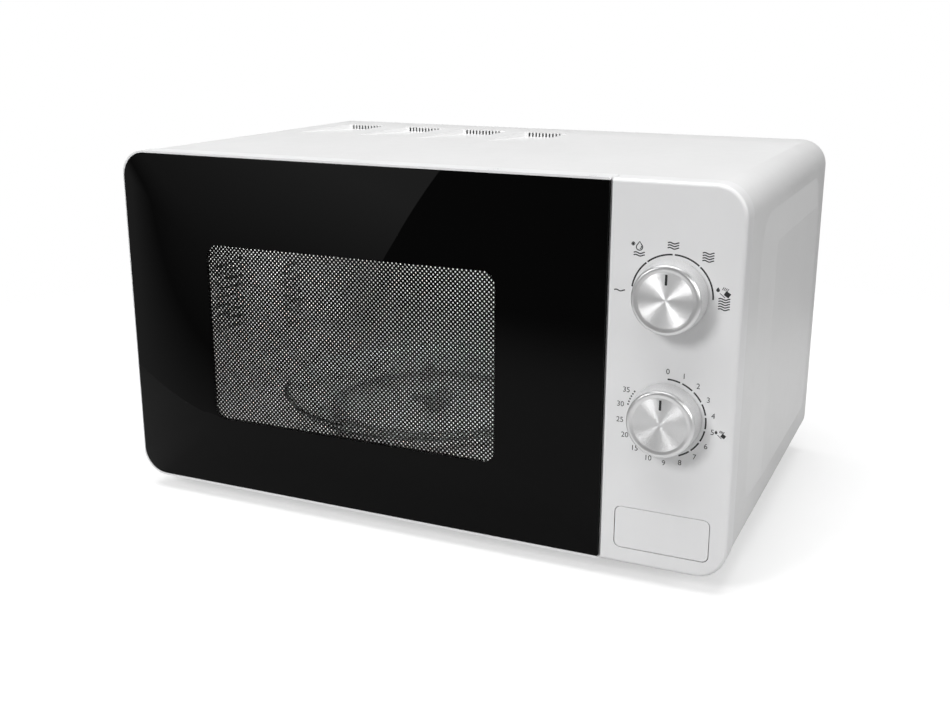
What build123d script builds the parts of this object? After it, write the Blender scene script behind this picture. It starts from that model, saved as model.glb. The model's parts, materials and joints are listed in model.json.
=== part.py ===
import math
import os

from build123d import *

os.makedirs("parts", exist_ok=True)

# A countertop microwave oven, in mm. X runs across the front, Y from the front to the back, Z up.
# The origin is on the surface that the oven stands on, under the middle of its outer box.

# driving dimensions: the case
half_width = 226.0  # middle to either side of the door and control panel
front_y = -148.0  # face of the door glass and of the control panel
rear_y = 148.4  # outside of the steel cabinet's rear flange
end_y = 163.0  # knob fronts and the rear spacer, both from the middle
bottom_z = 11.2  # lower edge of the door and control panel
top_z = 258.8
corner = 20.0  # outer corners, seen from the front
step = 0.6  # the cabinet stands this far inside the door's outline
steel = 0.8
thin_steel = 0.6
plastic = 2.4
gap = 0.3  # between pieces that move past each other

# driving dimensions: door, control panel and the steel plate behind them
door_back_y = -131.2
plate_y = -130.0  # front face of the plate that the door closes on
door_right_x = 142.9
panel_left_x = 143.7
glass_thickness = 3.2
hinge_x = -218.5
hinge_y = -138.7
hinge_pin_radius = 3.0
running_gap = 0.05  # radial, between a shaft and its bearing

# driving dimensions: the cooking cavity, inside faces
cavity_x = (-203.0, 103.0)
cavity_y = (-129.4, 140.0)
cavity_z = (37.0, 237.0)
turntable = (-50.0, 5.0)
tray_radius = 122.5
tray_z = 51.0  # underside of the glass tray
roller_radius = 6.7
roller_track = 88.5

# driving dimensions: controls and latch
knob_x = 183.5
power_z = 190.7
timer_z = 113.8
knob_radius = 22.4
knob_shaft_radius = 3.0
button_x = (153.5, 214.5)
button_z = (22.5, 50.3)
hook_x = (125.5, 130.0)
hook_z = (83.0, 204.0)  # underside of each hook's beam
hook_tip_y = -100.0
lever_pivot = (-121.0, 75.0)  # Y, Z
fan_at = (160.0, 178.0)  # X, Z
lamp_at = (-58.0, 205.0)  # Y, Z


def bar(x, y, z, mode=Mode.ADD):
    """A block between a low and a high value on each axis."""
    with Locations(((x[0] + x[1]) / 2, (y[0] + y[1]) / 2, (z[0] + z[1]) / 2)):
        Box(x[1] - x[0], y[1] - y[0], z[1] - z[0], mode=mode)


def rod(axis, at, radius, span, mode=Mode.ADD):
    """A cylinder along X, Y or Z. at is its place on the other two axes, span its two ends."""
    middle = (span[0] + span[1]) / 2
    place = {"X": (middle, *at), "Y": (at[0], middle, at[1]), "Z": (*at, middle)}[axis]
    turn = {"X": (0, 90, 0), "Y": (90, 0, 0), "Z": (0, 0, 0)}[axis]
    with Locations(place):
        Cylinder(radius, span[1] - span[0], rotation=turn, mode=mode)


def slab(x, z, y, radius, mode=Mode.ADD):
    """A rounded rectangle x by z that faces the front, from y[0] back to y[1]."""
    with BuildSketch(Plane.XZ.offset(-y[0])) as face:
        with Locations(((x[0] + x[1]) / 2, (z[0] + z[1]) / 2)):
            RectangleRounded(x[1] - x[0], z[1] - z[0], radius)
    extrude(face.sketch, amount=y[0] - y[1], mode=mode)


def sides(x, z, y, left, right, mode=Mode.ADD):
    """As slab, with one radius for its two left corners and another for its right ones."""
    with BuildSketch(Plane.XZ.offset(-y[0])) as face:
        with Locations(((x[0] + x[1]) / 2, (z[0] + z[1]) / 2)):
            Rectangle(x[1] - x[0], z[1] - z[0])
        fillet(face.vertices().group_by(Axis.X)[0], left)
        fillet(face.vertices().group_by(Axis.X)[-1], right)
    extrude(face.sketch, amount=y[0] - y[1], mode=mode)


def coil(radius, wire_radius, pitch, turns, start, axis):
    """A round-wire spring from start along axis."""
    with BuildLine() as path:
        Helix(pitch=pitch, height=pitch * turns, radius=radius, center=start, direction=axis)
    with BuildSketch(Plane(origin=path.line @ 0, z_dir=path.line % 0)) as wire:
        Circle(wire_radius)
    sweep(wire.sketch, path=path.line, is_frenet=True)


# ---- cabinet: one sheet wrapped over the top and both sides ----
cabinet_half = half_width - step
cabinet_z = (bottom_z + step, top_z - step)
cabinet_corner = corner - step
flange_width = 14.0
boss_rise = 2.6
boss_outline = ((-98.0, 127.0), (45.5, 234.5), 26.0, 12.0)  # Y, Z, upper and lower corner radius
boss_flat = ((-58.0, 110.0), (49.5, 212.5), 7.0, 6.0)
pocket_spans = [(-187.5, -150.5), (-130.0, -92.5), (-75.0, -34.0), (-17.0, 21.0)]
pocket_y = (22.0, 72.0, 112.0)  # front edge, foot of the ramp, rear edge
pocket_depth = 2.8
screw_places = [(s * 217.5, z) for s in (-1, 1) for z in (70.0, 195.0)]
screw_places += [(s * 115.0, 251.0) for s in (-1, 1)]


def boss(side, start, rise, inset, mode):
    """A raised field on a cabinet side: a loft from its outline to its flat top."""
    faces = []
    for (y, z, upper, lower), x in ((boss_outline, start), (boss_flat, start + rise)):
        with BuildSketch(Plane.YZ.offset(side * x)) as field:
            with Locations(((y[0] + y[1]) / 2, (z[0] + z[1]) / 2)):
                Rectangle(y[1] - y[0] - 2 * inset, z[1] - z[0] - 2 * inset)
            fillet(field.vertices().group_by(Axis.Y)[-1], upper - inset)
            fillet(field.vertices().group_by(Axis.Y)[0], lower - inset)
        faces.append(field.sketch.face())
    loft(sections=faces, mode=mode)


with BuildPart() as cabinet:
    slab((-cabinet_half, cabinet_half), cabinet_z, (plate_y, rear_y), cabinet_corner)
    slab(
        (steel - cabinet_half, cabinet_half - steel),
        (cabinet_z[0] + steel, cabinet_z[1] - steel),
        (plate_y, rear_y - steel),
        cabinet_corner - steel,
        Mode.SUBTRACT,
    )
    slab(
        (flange_width - cabinet_half, cabinet_half - flange_width),
        (cabinet_z[0] + flange_width, cabinet_z[1] - flange_width),
        (rear_y - steel, rear_y),
        cabinet_corner - flange_width,
        Mode.SUBTRACT,
    )
    curl_end = cabinet_half - cabinet_corner
    bar((-curl_end, curl_end), (plate_y, rear_y), (bottom_z, cabinet_z[0] + flange_width), Mode.SUBTRACT)
    for side in (-1, 1):
        boss(side, cabinet_half, boss_rise, 0.0, Mode.ADD)
        boss(side, cabinet_half - steel, boss_rise, 0.4, Mode.SUBTRACT)
    for low, high in pocket_spans:
        lid = cabinet_z[1]
        with BuildSketch(Plane.YZ.offset(low - steel)):
            Polygon(
                (pocket_y[0] - 4, lid - steel),
                (pocket_y[1], lid - pocket_depth - steel),
                (pocket_y[2], lid - pocket_depth - steel),
                (pocket_y[2], lid - steel),
                align=None,
            )
        extrude(amount=high - low + 2 * steel)
        with BuildSketch(Plane.YZ.offset(low)):
            Polygon(
                (pocket_y[0], lid),
                (pocket_y[1], lid - pocket_depth),
                (pocket_y[2] + 1, lid - pocket_depth),
                (pocket_y[2] + 1, lid - steel),
                (pocket_y[2], lid - steel),
                (pocket_y[2], lid + 1),
                (pocket_y[0], lid + 1),
                align=None,
            )
        extrude(amount=high - low, mode=Mode.SUBTRACT)
    for x, z in screw_places:
        rod("Y", (x, z), 2.0, (rear_y - 2, rear_y + 1), Mode.SUBTRACT)

# ---- rear panel, its screws, spacer and cord gland ----
panel_back = (rear_y - 2 * steel, rear_y - steel)
gland_at = (196.0, 44.0)
with BuildPart() as rear_panel:
    slab((-224.2, 224.2), (13.6, cabinet_z[1] - 1.0), panel_back, 18.0)
    for ring in range(1, 6):
        with Locations(Location((fan_at[0], rear_y, fan_at[1]), (90, 0, 0))):
            with PolarLocations(8.0 * ring, 6 * ring):
                Cylinder(2.3, 6, mode=Mode.SUBTRACT)
    with Locations(Location((-110, rear_y, 205), (90, 0, 0))):
        with GridLocations(24, 8, 4, 6):
            Box(18, 3.2, 6, mode=Mode.SUBTRACT)
    with Locations(Location((150, rear_y, 84), (90, 0, 0))):
        with GridLocations(20, 8, 3, 5):
            Box(14, 3.2, 6, mode=Mode.SUBTRACT)
    for x, z in screw_places:
        rod("Y", (x, z), 1.7, (rear_y - 3, rear_y + 1), Mode.SUBTRACT)
    rod("Y", gland_at, 8.0, (rear_y - 3, rear_y + 1), Mode.SUBTRACT)

with BuildPart() as cabinet_screws:
    for x, z in screw_places:
        rod("Y", (x, z), 1.7, (rear_y - 9, rear_y))
        with Locations(Location((x, rear_y, z), (-90, 0, 0))):
            Cone(4.0, 3.2, 2.0, align=(Align.CENTER, Align.CENTER, Align.MIN))
        bar((x - 2.6, x + 2.6), (rear_y + 1.1, rear_y + 3), (z - 0.45, z + 0.45), Mode.SUBTRACT)
        bar((x - 0.45, x + 0.45), (rear_y + 1.1, rear_y + 3), (z - 2.6, z + 2.6), Mode.SUBTRACT)

with BuildPart() as rear_spacer:
    with BuildSketch(Plane.XZ.offset(-panel_back[1])):
        with Locations((0, 218)):
            RectangleRounded(64, 26, 8)
    with BuildSketch(Plane.XZ.offset(-end_y)):
        with Locations((0, 218)):
            RectangleRounded(56, 18, 6)
    loft()
    slab((-25, 25), (212, 224), (panel_back[1], end_y - plastic), 4, Mode.SUBTRACT)

with BuildPart() as cord_gland:
    rod("Y", gland_at, 7.9, (panel_back[0] - 4, panel_back[1] + 1))
    rod("Y", gland_at, 11.0, (panel_back[1], panel_back[1] + 4.5))
    rod("Y", gland_at, 9.6, (panel_back[0] - 4, panel_back[0]))
    rod("Y", gland_at, 3.8, (panel_back[0] - 5, panel_back[1] + 6), Mode.SUBTRACT)

# ---- base plate and feet ----
base_z = (12.6, 13.4)
foot_places = [(x, y) for x in (-182.0, 182.0) for y in (-104.0, 118.0)]
with BuildPart() as base_plate:
    bar((-205.9, 205.9), (plate_y + thin_steel, panel_back[0]), base_z)
    for side in (-1, 1):
        bar(tuple(sorted((side * 205.9, side * 205.1))), (-128.0, 145.0), (base_z[1], 25.0))
    bar((-204.0, 204.0), (plate_y + thin_steel, plate_y + thin_steel + steel), (base_z[1], 24.0))
    bar((-204.0, 204.0), (panel_back[0] - steel, panel_back[0]), (base_z[1], 24.0))
    for x, y in foot_places:
        rod("Z", (x, y), 3.0, (10, 16), Mode.SUBTRACT)
    with Locations((168, 5, base_z[0])):
        with GridLocations(11, 34, 6, 4):
            Box(4, 24, 4, mode=Mode.SUBTRACT)
    with Locations((-150, 20, base_z[0])):
        with GridLocations(11, 34, 5, 3):
            Box(4, 24, 4, mode=Mode.SUBTRACT)

with BuildPart() as feet:
    for x, y in foot_places:
        with Locations((x, y, 0)):
            Cone(10.5, 12.5, base_z[0], align=(Align.CENTER, Align.CENTER, Align.MIN))
        rod("Z", (x, y), 2.9, (base_z[0], base_z[1] + 3.6))
        rod("Z", (x, y), 6.5, (-1, 1.6), Mode.SUBTRACT)

# ---- front plate, with slots for the hinges and the latch hooks ----
front_plate_y = (plate_y, plate_y + thin_steel)
hinge_tab_z = (37.6, 232.4)  # underside of each hinge tab
tab = 2.0
with BuildPart() as front_plate:
    sides((-224.4, 142.0), (13.6, cabinet_z[1] - 1.0), front_plate_y, 18.0, 1.0)
    slab(cavity_x, cavity_z, (plate_y - 1, plate_y + 2), 8.0, Mode.SUBTRACT)
    for z in hook_z:
        bar((hook_x[0] - 1.5, hook_x[1] + 4.5), (plate_y - 1, plate_y + 2), (z - 7, z + 14), Mode.SUBTRACT)
    for z in hinge_tab_z:
        bar((-223.5, -213.5), (plate_y - 1, plate_y + 2), (z - 0.5, z + tab + 0.5), Mode.SUBTRACT)

# ---- hinges: a plate behind the front plate, a tab through it, and a pin ----
hinges = []
for tab_z, plate_z, pin_z in (
    (hinge_tab_z[1], (214.0, 240.0), (hinge_tab_z[1], 246.0)),
    (hinge_tab_z[0], (33.0, 56.0), (25.5, hinge_tab_z[0] + tab)),
):
    with BuildPart() as hinge:
        bar((-223.6, -205.0), (front_plate_y[1], front_plate_y[1] + 1.2), plate_z)
        bar((-222.5, -214.5), (hinge_y, front_plate_y[1]), (tab_z, tab_z + tab))
        rod("Z", (hinge_x, hinge_y), 4.0, (tab_z, tab_z + tab))
        rod("Z", (hinge_x, hinge_y), hinge_pin_radius, pin_z)
    hinges.append(hinge)
upper_hinge, lower_hinge = hinges

# ---- cooking cavity, its cover plate and the air and lamp openings ----
with BuildPart() as cavity:
    slab(
        (cavity_x[0] - thin_steel, cavity_x[1] + thin_steel),
        (cavity_z[0] - thin_steel, cavity_z[1] + thin_steel),
        (cavity_y[0], cavity_y[1] + thin_steel),
        8.0 + thin_steel,
    )
    slab(cavity_x, cavity_z, cavity_y, 8.0, Mode.SUBTRACT)
    rod("Z", turntable, 5.0, (30, 40), Mode.SUBTRACT)
    for y, z, columns in ((-58.0, 135.0, 6), (32.0, 117.0, 4)):
        with Locations(Location((cavity_x[0], y, z), (0, 90, 0))):
            with GridLocations(6.5, 6.5, 9, columns):
                Cylinder(2.0, 4, mode=Mode.SUBTRACT)
    with Locations(Location((cavity_x[1], lamp_at[0], lamp_at[1]), (0, 90, 0))):
        with GridLocations(5, 5, 5, 5):
            Cylinder(1.6, 4, mode=Mode.SUBTRACT)
    bar((cavity_x[1] - 1, cavity_x[1] + 2), (20, 74), (152, 208), Mode.SUBTRACT)

with BuildPart() as waveguide_cover:
    with BuildSketch(Plane.YZ.offset(cavity_x[1] - 0.6)):
        with Locations((47, 180)):
            RectangleRounded(70, 74, 5)
    extrude(amount=0.6)

# ---- microwave source: waveguide, magnetron, and its supply ----
magnetron_at = (58.0, 178.0)  # Y, Z of the antenna
with BuildPart() as waveguide:
    bar((103.6, 128.0), (12.0, 88.0), (144.0, 214.0))
    bar((102.0, 127.2), (12.8, 87.2), (144.8, 213.2), Mode.SUBTRACT)
    rod("X", magnetron_at, 12.0, (126, 130), Mode.SUBTRACT)

with BuildPart() as magnetron_yoke:
    bar((128.0, 170.0), (18.0, 98.0), (146.0, 210.0))
    bar((130.0, 168.0), (17.0, 99.0), (148.0, 208.0), Mode.SUBTRACT)
    rod("X", magnetron_at, 12.0, (127, 131), Mode.SUBTRACT)
    rod("X", magnetron_at, 10.0, (167, 171), Mode.SUBTRACT)

with BuildPart() as magnetron_tube:
    rod("X", magnetron_at, 19.0, (130.0, 168.0))
    rod("X", magnetron_at, 11.5, (121.0, 130.0))
    rod("X", magnetron_at, 7.5, (109.0, 121.0))
    rod("X", magnetron_at, 9.5, (168.0, 172.0))
    fillet(magnetron_tube.faces().sort_by(Axis.X)[0].edges(), 3)

with BuildPart() as magnetron_fins:
    for number in range(6):
        x = 134.0 + 5.6 * number
        bar((x, x + 0.6), (22.0, 94.0), (148.0, 208.0))
    rod("X", magnetron_at, 19.0, (129, 169), Mode.SUBTRACT)

with BuildPart() as magnetron_filter_box:
    bar((172.0, 196.0), (34.0, 82.0), (154.0, 202.0))
    for z in (170.0, 186.0):
        rod("Y", (184.0, z), 5.0, (20.0, 34.0))
    fillet(magnetron_filter_box.edges().filter_by(Axis.X), 2)

core_x = (112.0, 198.0)
core_y = (-30.0, 26.0)
leg_x = (141.0, 169.0)
coil_spans = [(30.0, 50.0), (53.0, 79.0)]  # primary below, secondary above
with BuildPart() as transformer_core:
    bar(core_x, core_y, (base_z[1] + 1.6, 93.0))
    for window in ((core_x[0] + 14, leg_x[0]), (leg_x[1], core_x[1] - 14)):
        bar(window, (core_y[0] - 1, core_y[1] + 1), (28.0, 81.0), Mode.SUBTRACT)
    bar((core_x[0] - 6, core_x[1] + 6), core_y, (base_z[1], base_z[1] + 1.6))

with BuildPart() as transformer_windings:
    for span in coil_spans:
        bar((leg_x[0] - 14, leg_x[1] + 14), (core_y[0] - 15, core_y[1] + 15), span)
    fillet(transformer_windings.edges().filter_by(Axis.Z), 6)
    bar(leg_x, core_y, (20, 90), Mode.SUBTRACT)

with BuildPart() as capacitor:
    with BuildSketch(Plane.YZ.offset(112)):
        with Locations((90, 32)):
            SlotOverall(54, 32)
    extrude(amount=84)
    for y in (80.0, 100.0):
        rod("X", (y, 32.0), 2.0, (196, 203))
        bar((196, 204), (y - 0.4, y + 0.4), (33, 38))

with BuildPart() as capacitor_clamp:
    with BuildSketch(Plane.YZ.offset(148)):
        with Locations((90, 32)):
            SlotOverall(55.6, 33.6)
            SlotOverall(54, 32, mode=Mode.SUBTRACT)
    extrude(amount=12)
    bar((148, 160), (118.0, 130.0), (base_z[1], base_z[1] + 1.0))
    bar((148, 160), (117.0, 118.0), (base_z[1], 31.0))

with BuildPart() as high_voltage_diode:
    rod("Y", (212.0, 60.0), 3.2, (80.0, 96.0))
    rod("Y", (212.0, 60.0), 0.6, (70.0, 106.0))

with BuildPart() as thermal_cutout:
    rod("Z", (115.0, 50.0), 8.5, (214.0, 220.0))
    bar((103.8, 126.0), (46.5, 53.5), (214.0, 214.8))
    for y in (46.0, 54.0):
        bar((113.0, 117.0), (y - 0.4, y + 0.4), (220.0, 228.0))

# ---- cooling fan: shroud on the rear panel, motor held in front of it, blades between ----
shroud_y = (116.0, panel_back[0])
motor_y = (100.0, 113.0)
with BuildPart() as fan_shroud:
    slab((110.0, 210.0), (128.0, 228.0), (shroud_y[1] - 2.4, shroud_y[1]), 6)
    rod("Y", fan_at, 47.5, shroud_y)
    rod("Y", fan_at, 45.0, (100, 150), Mode.SUBTRACT)
    for z in (fan_at[1] - 24, fan_at[1] + 24):
        for side in (-1, 1):
            x = fan_at[0] + side * 41.0
            rod("Y", (x, z), 3.0, (motor_y[0] + 8, shroud_y[0] + 6))

with BuildPart() as fan_motor:
    x, z = fan_at
    bar((x - 45, x + 45), (motor_y[0] + 5, motor_y[0] + 8), (z - 28, z - 20))
    bar((x - 45, x + 45), (motor_y[0] + 5, motor_y[0] + 8), (z + 20, z + 28))
    bar((x - 28, x + 28), (motor_y[0], motor_y[1] - 1), (z - 30, z + 30))
    bar((x - 34, x - 20), (motor_y[0] + 9, motor_y[1] + 1), (z - 22, z + 22))
    rod("Y", fan_at, 1.6, (motor_y[0] - 4, motor_y[1] + 2), Mode.SUBTRACT)

with BuildPart() as fan_blades:
    rod("Y", fan_at, 10.0, (motor_y[1] + 4, 134.0))
    rod("Y", fan_at, 1.6 - running_gap, (motor_y[0], motor_y[1] + 4))
    for number in range(5):
        turn = math.radians(72 * number)
        with Locations(
            Location(
                (fan_at[0] + 26 * math.cos(turn), 126.0, fan_at[1] + 26 * math.sin(turn)),
                (0, -72 * number, 0),
            )
        ):
            Box(33, 1.4, 25, rotation=(32, 0, 0))
    rod("Y", fan_at, 42.5, (100, 145), Mode.INTERSECT)

# ---- cavity lamp ----
with BuildPart() as lamp_holder:
    y, z = lamp_at
    bar((126.0, 140.0), (y - 10, y + 10), (z - 10, z + 10))
    bar((103.8, 126.0), (y - 12, y - 9), (z - 12, z + 12))
    bar((126.0, 140.0), (y - 12, y - 10), (z - 12, z + 12))

with BuildPart() as cavity_lamp:
    rod("X", lamp_at, 7.5, (110.0, 124.0))
    rod("X", lamp_at, 5.0, (124.0, 126.0))
    fillet(cavity_lamp.faces().sort_by(Axis.X)[0].edges(), 5)

# ---- control panel ----
boss_reach = 18.0  # from a knob's axis to the screw posts round it
case_y = -128.0  # front of the two control units
with BuildPart() as control_panel:
    sides((panel_left_x, half_width), (bottom_z, top_z), (front_y, door_back_y), 1.2, corner)
    fillet(control_panel.faces().sort_by(Axis.Y)[0].edges().filter_by(lambda e: e.center().X > 145), 2.4)
    sides(
        (panel_left_x + plastic, half_width - plastic),
        (bottom_z + plastic, top_z - plastic),
        (front_y + plastic, door_back_y),
        0.8,
        corner - plastic,
        Mode.SUBTRACT,
    )
    for z in (power_z, timer_z):
        rod("Y", (knob_x, z), 4.5, (front_y - 1, front_y + 4), Mode.SUBTRACT)
        for dx in (-boss_reach, boss_reach):
            for dz in (-boss_reach, boss_reach):
                rod("Y", (knob_x + dx, z + dz), 3.0, (front_y + plastic, case_y))
    slab(
        (button_x[0] - 0.45, button_x[1] + 0.45),
        (button_z[0] - 0.45, button_z[1] + 0.45),
        (front_y - 1, front_y + 4),
        4.4,
        Mode.SUBTRACT,
    )
    bar((panel_left_x + 1, half_width - 1), (-133.2, door_back_y), (26.0, 34.0))

# ---- control units behind the panel ----
control_units = []
for z, depth, extra in ((power_z, 24.0, 0.0), (timer_z, 34.0, 1.0)):
    with BuildPart() as unit:
        bar((knob_x - 24, knob_x + 24), (case_y, case_y + 1.2), (z - 24, z + 24))
        bar((knob_x - 22, knob_x + 22), (case_y + 1.2, case_y + depth), (z - 22, z + 22))
        rod("Y", (knob_x, z), 6.0, (case_y - 4, case_y))
        rod("Y", (knob_x, z), knob_shaft_radius + running_gap, (case_y - 5, case_y + 16), Mode.SUBTRACT)
        for dx in (-12.0, 0.0, 12.0):
            bar((knob_x + dx - 3, knob_x + dx + 3), (case_y + depth, case_y + depth + 8), (z - 18, z - 17.2))
    control_units.append(unit)
power_selector, timer_unit = control_units

with BuildPart() as timer_motor:
    rod("Y", (knob_x + 5, timer_z + 4), 13.0, (case_y + 34.0, case_y + 46.0))
    fillet(timer_motor.faces().sort_by(Axis.Y)[-1].edges(), 1.5)

with BuildPart() as bell:
    with BuildSketch(Plane.YZ) as dome:
        with BuildLine():
            Polyline((0, 2.5), (6, 3), (11, 8), (12, 15), (12.8, 15), (12, 7.5), (6.4, 2.2), (6, 0), (0, 0), (0, 2.5))
        make_face()
    revolve(axis=Axis.Y)
bell.part.locate(Location((knob_x, case_y + 9, timer_z + 38)))

with BuildPart() as bell_and_arm:
    add(bell.part)
    bar((knob_x - 3, knob_x + 3), (case_y + 4, case_y + 9), (timer_z + 22, timer_z + 41))

# ---- knobs: a plastic skirt with its shaft, and a turned metal face ----
knob_front_y = -end_y
knob_back_y = front_y - 0.4


def knob_parts(z):
    """The skirt, the metal face and the shaft of one knob."""
    with BuildPart() as skirt:
        with BuildSketch(Plane.XY) as profile:
            with BuildLine():
                Polyline(
                    (3.0, knob_back_y), (knob_radius, knob_back_y), (21.4, knob_front_y + 1.6),
                    (17.6, knob_front_y + 1.6), (17.6, knob_front_y + 3.0), (3.0, knob_front_y + 3.0),
                    (3.0, knob_back_y),
                )
            make_face()
        revolve(axis=Axis.Y)
    skirt.part.locate(Location((knob_x, 0, z)))
    with BuildPart() as face:
        with BuildSketch(Plane.XY) as profile:
            with BuildLine():
                Polyline(
                    (0, knob_front_y + 0.5), (17.2, knob_front_y + 0.5), (18.6, knob_front_y),
                    (20.2, knob_front_y + 0.5), (21.2, knob_front_y + 1.6), (17.6, knob_front_y + 1.6),
                    (17.6, knob_front_y + 3.0), (0, knob_front_y + 3.0), (0, knob_front_y + 0.5),
                )
            make_face()
        revolve(axis=Axis.Y)
    face.part.locate(Location((knob_x, 0, z)))
    with BuildPart() as shaft:
        rod("Y", (knob_x, z), knob_shaft_radius, (knob_front_y + 3.0, case_y + 14))
    return skirt, face, shaft


power_knob, power_knob_face, power_shaft = knob_parts(power_z)
timer_knob, timer_knob_face, timer_shaft = knob_parts(timer_z)

# ---- door release: button, its spring, and the lever that lifts the hooks ----
button_travel = 4.5
arm_z = (36.0, 41.5)
lever_x = (144.0, 148.0)
with BuildPart() as door_button:
    slab(button_x, button_z, (front_y, front_y + 8), 4.0)
    fillet(door_button.faces().sort_by(Axis.Y)[0].edges(), 0.5)
    slab(
        (button_x[0] + 2, button_x[1] - 2),
        (button_z[0] + 2, button_z[1] - 2),
        (front_y + 2.4, front_y + 9),
        2.5,
        Mode.SUBTRACT,
    )
    rod("Y", (184.0, 30.0), 2.2, (front_y + 2.4, front_y + 9))
    bar((button_x[0] + 0.5, button_x[0] + 4.5), (front_y + 2.4, -126.0), arm_z)
    bar((lever_x[0], button_x[0] + 4.5), (-129.0, -126.0), arm_z)

with BuildPart() as button_spring:
    coil(3.2, 0.35, 2.0, 5, (184.0, front_y + 3.4, 30.0), (0, 1, 0))

with BuildPart() as release_lever:
    y, z = lever_pivot
    rod("X", lever_pivot, 5.5, lever_x)
    bar(lever_x, (-126.0 + gap, -119.0), (arm_z[0] - 2, z))
    bar(lever_x, (y, -98.0), (z - 3, z + 3))
    bar((hook_x[0] - 1, lever_x[1]), (-104.0, -98.0), (z - 3, z + 3))
    rod("X", lever_pivot, 2.5 + running_gap, (lever_x[0] - 1, lever_x[1] + 1), Mode.SUBTRACT)

# ---- latch bracket, with a ledge below each hook, and the door switches ----
ledge_y = (-113.0, -109.5)
lip_drop = 4.0
with BuildPart() as latch_bracket:
    bar((137.0, 140.0), (front_plate_y[1], -84.0), (60.0, 226.0))
    bar((137.0, 142.0), (front_plate_y[1], front_plate_y[1] + 2.4), (60.0, 226.0))
    for z in hook_z:
        ledge_top = z - lip_drop - 0.4
        bar((122.0, 137.0), ledge_y, (ledge_top - 6, ledge_top))
    bar((136.0, 141.0), (-110.0, -92.0), (lever_pivot[1] - 8, lever_pivot[1] + 12), Mode.SUBTRACT)
    rod("X", lever_pivot, 2.5, (137.0, lever_x[1] + 2.4))
    rod("X", lever_pivot, 4.0, (lever_x[1] + 0.4, lever_x[1] + 2.4))

switch_places = [(-99.6, 92.5), (-99.6, 213.5), (-99.6, 224.0)]  # Y of the front, lower Z
with BuildPart() as door_switches:
    for y, z in switch_places:
        bar((116.0, 137.0), (y + 1.4, y + 12.0), (z - 10.0, z - 2.0))
        bar((126.0, 129.0), (y, y + 1.4), (z - 7.5, z - 4.5))
        for x in (118.0, 123.0, 128.0):
            bar((x - 0.4, x + 0.4), (y + 12.0, y + 18.0), (z - 8.0, z - 4.0))

# ---- turntable: motor below the floor, coupler, roller ring and glass tray ----
motor_top = cavity_z[0] - thin_steel
with BuildPart() as turntable_motor:
    rod("Z", turntable, 24.0, (18.4, motor_top))
    bar((turntable[0] - 9, turntable[0] + 9), (turntable[1] + 20, turntable[1] + 33), (20.0, 31.0))
    bar((turntable[0] - 36, turntable[0] + 36), (turntable[1] - 6, turntable[1] + 6), (motor_top - 1.2, motor_top))
    rod("Z", turntable, knob_shaft_radius + running_gap, (26, motor_top + 1), Mode.SUBTRACT)

with BuildPart() as turntable_coupler:
    rod("Z", turntable, knob_shaft_radius, (28.0, 41.0))
    rod("Z", turntable, 8.0, (39.0, tray_z - gap))
    with Locations((*turntable, tray_z - 2.8)):
        with PolarLocations(9.0, 3, start_angle=90):
            Box(20, 5, 5)
    fillet(turntable_coupler.edges().filter_by(Axis.Z), 1)

with BuildPart() as roller_ring:
    ring_z = cavity_z[0] + gap + roller_radius
    with Locations((*turntable, ring_z)):
        Cylinder(84.0, 4)
        Cylinder(78.0, 6, mode=Mode.SUBTRACT)
        with PolarLocations(88.4, 3):
            Cylinder(1.5, 9.6, rotation=(0, 90, 0))
        with PolarLocations(92.7, 3):
            Cylinder(2.4, 1.2, rotation=(0, 90, 0))

rollers = []
for number in range(3):
    turn = math.radians(120 * number)
    centre = (
        turntable[0] + roller_track * math.cos(turn),
        turntable[1] + roller_track * math.sin(turn),
        ring_z,
    )
    with BuildPart() as roller:
        with Locations(Location(centre, (0, 0, 120 * number))):
            Cylinder(roller_radius, 6.4, rotation=(0, 90, 0))
            Cylinder(1.5 + running_gap, 8, rotation=(0, 90, 0), mode=Mode.SUBTRACT)
        fillet(roller.edges().filter_by(lambda e: e.length > 30), 0.8)
    rollers.append(roller)
roller_1, roller_2, roller_3 = rollers

with BuildPart() as glass_tray:
    with BuildSketch(Plane.XZ) as profile:
        with BuildLine():
            Polyline(
                (0, tray_z), (108, tray_z), (117.5, tray_z + 4.2), (tray_radius, tray_z + 10.6),
                (tray_radius - 0.8, tray_z + 11.8), (tray_radius - 3.4, tray_z + 11.0),
                (114.5, tray_z + 6.6), (107, tray_z + 3.6), (0, tray_z + 3.6), (0, tray_z),
            )
        make_face()
    revolve(axis=Axis.Z)
    with PolarLocations(15.0, 3, start_angle=30):
        with Locations((0, 0, tray_z - 1.8)):
            Cylinder(3.0, 3.6)
glass_tray.part.locate(Location((*turntable, 0)))

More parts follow.
